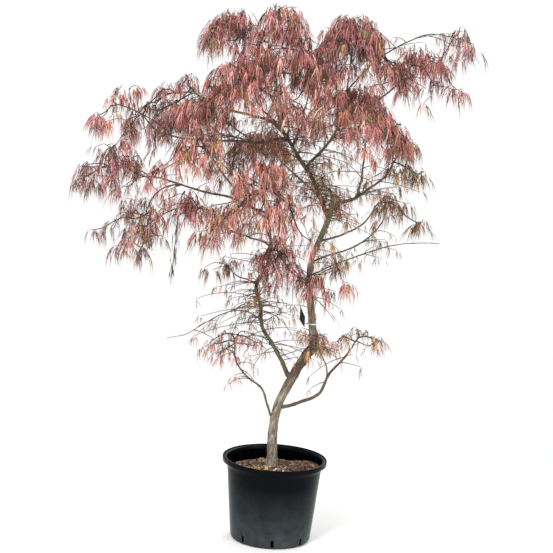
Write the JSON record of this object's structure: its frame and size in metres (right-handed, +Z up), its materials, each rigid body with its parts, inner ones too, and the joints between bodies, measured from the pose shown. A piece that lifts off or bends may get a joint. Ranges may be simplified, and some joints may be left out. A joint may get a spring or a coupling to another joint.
{
  "type": "potted japanese maple",
  "caption": "Weeping laceleaf japanese maple in autumn leaf, with a crooked bare trunk and open, layered boughs, growing in a round black nursery container.",
  "frame": {"origin": "centre of the container's flat underside", "axes": "+Z up along the container's axis, -Y towards the plant's front, +X to the right as seen from the front"},
  "size_m": [1.2608, 0.8884, 1.7287],
  "materials": {
    "pot_plastic": "black injection-moulded polypropylene, satin",
    "potting_bark": "moist potting mix under a rough bark mulch",
    "trunk_bark": "smooth grey-tan young bark with fine cracks",
    "bough_bark": "grey-green to brown bark of young boughs",
    "dead_wood": "dry, withered shoot",
    "label_plastic": "blank dark plastic tag with a pale back",
    "leaves_coral": "coral-red autumn leaves",
    "leaves_rose": "dusty rose autumn leaves",
    "leaves_rust": "rust-red autumn leaves",
    "leaves_bronze": "bronze-brown autumn leaves",
    "leaves_olive": "olive and ochre turning leaves"
  },
  "bodies": {
    "root": {"pot": "pot_plastic", "soil": "potting_bark", "trunk": "trunk_bark", "second_stem": "bough_bark", "leader": "bough_bark", "bough_top": "bough_bark", "bough_arch_right": "bough_bark", "bough_far_right": "bough_bark", "bough_right_tip": "bough_bark", "bough_front_top": "bough_bark", "bough_front_upper": "bough_bark", "bough_left_level": "bough_bark", "bough_back_left": "bough_bark", "bough_back_upper": "bough_bark", "bough_back_right": "bough_bark", "bough_back_middle": "bough_bark", "bough_right_upper": "bough_bark", "bough_right_front": "bough_bark", "bough_right_lower": "bough_bark", "bough_right_rear": "bough_bark", "whip_right": "bough_bark", "bough_centre_low": "bough_bark", "bough_left_front": "bough_bark", "bough_left_lower": "bough_bark", "bough_left_far": "bough_bark", "bough_left_hanging": "bough_bark", "bough_left_twig": "bough_bark", "whip_left": "bough_bark", "bough_foot_left": "bough_bark", "bough_foot_right": "bough_bark", "bough_foot_middle": "bough_bark", "dead_shoot": "dead_wood", "plant_label": "label_plastic", "leaves_top_left": "leaves_coral", "leaves_top_middle": "leaves_rose", "leaves_top_right": "leaves_rust", "leaves_right_high": "leaves_rust", "leaves_right_tip": "leaves_rust", "leaves_front_top": "leaves_rose", "leaves_front_upper": "leaves_coral", "leaves_left_high": "leaves_bronze", "leaves_left_far": "leaves_coral", "leaves_left_front": "leaves_coral", "leaves_left_middle": "leaves_rust", "leaves_left_hanging": "leaves_bronze", "leaves_left_lower": "leaves_coral", "leaves_middle": "leaves_rose", "leaves_right_front": "leaves_coral", "leaves_right_middle": "leaves_bronze", "leaves_right_lower": "leaves_olive", "leaves_centre_low": "leaves_rose", "leaves_trunk_right": "leaves_olive", "leaves_left_twig": "leaves_olive", "leaves_foot_left": "leaves_rose", "leaves_foot_right": "leaves_olive", "leaves_foot_middle": "leaves_olive", "leaves_back_upper": "leaves_rust", "leaves_back_right": "leaves_rust", "leaves_back_left": "leaves_bronze", "leaves_back_middle": "leaves_bronze"}
  },
  "joints": []
}
